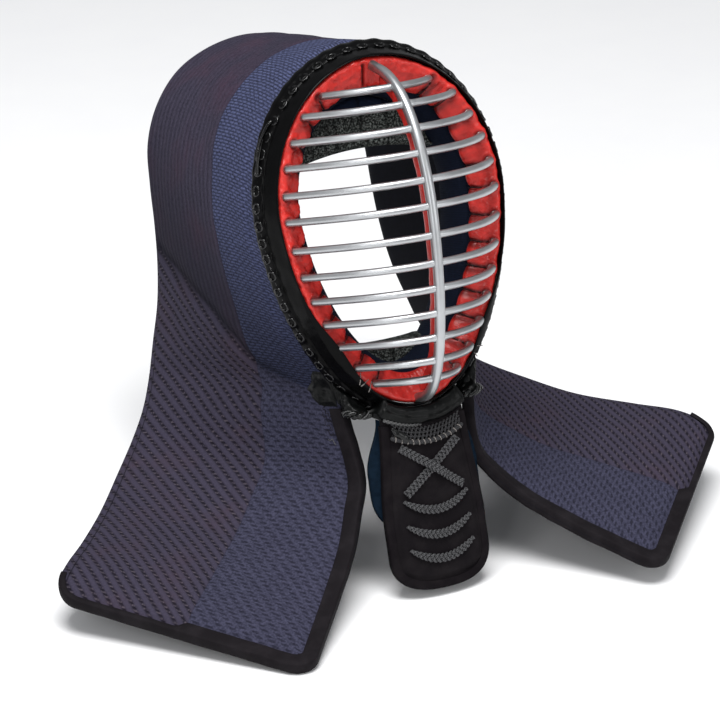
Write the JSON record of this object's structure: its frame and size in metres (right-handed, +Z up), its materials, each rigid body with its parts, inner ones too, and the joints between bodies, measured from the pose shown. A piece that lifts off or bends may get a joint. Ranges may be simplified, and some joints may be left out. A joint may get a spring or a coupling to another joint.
{
  "type": "kendo men helmet",
  "caption": "Kendo helmet of quilted indigo cotton with shoulder flaps, a bulging face grille in a red and black lacquered rim, and a throat flap with corded trim.",
  "frame": {"origin": "centre of the head seat: the middle of the pad ring's rear plane, halfway between the forehead pad and the chin pad", "axes": "+X to the wearer's left, +Y to the back of the head, +Z up; the whole men leans back by 18 degrees, as a raised head holds it"},
  "size_m": [0.534, 0.3941, 0.3699],
  "materials": {
    "quilted_cotton": "matt quilted indigo and purple cotton",
    "dark_binding": "satin dark binding strip",
    "black_leather": "grained black leather",
    "grille_metal": "satin",
    "red_lacquer": "glossy red lacquer on leather",
    "black_lacquer": "glossy black lacquer on leather",
    "indigo_cotton": "matt indigo cotton",
    "black_velvet": "black velvet",
    "throat_leather": "matt black leather",
    "braided_cord": "flat braided cord, satin"
  },
  "bodies": {
    "root": {"padded_hood": "quilted_cotton", "hood_binding_left": "dark_binding", "hood_binding_right": "dark_binding", "corner_patch_left": "black_leather", "corner_patch_right": "black_leather", "face_grille": "grille_metal", "centre_strip": "red_lacquer", "rim_lining": "red_lacquer", "rim_band": "black_lacquer", "pad_ring": "indigo_cotton", "forehead_pad": "black_velvet", "chin_pad": "black_velvet", "chin_guard": "black_leather", "throat_flap": "throat_leather", "throat_binding": "dark_binding", "inner_throat_guard": "indigo_cotton", "throat_cord_top": "braided_cord", "throat_cord_cross_under": "braided_cord", "throat_cord_cross_over": "braided_cord", "lacing_left": "black_leather", "lacing_right": "black_leather", "throat_cord_row_1": "braided_cord", "throat_cord_row_2": "braided_cord", "throat_cord_row_3": "braided_cord"}
  },
  "joints": []
}
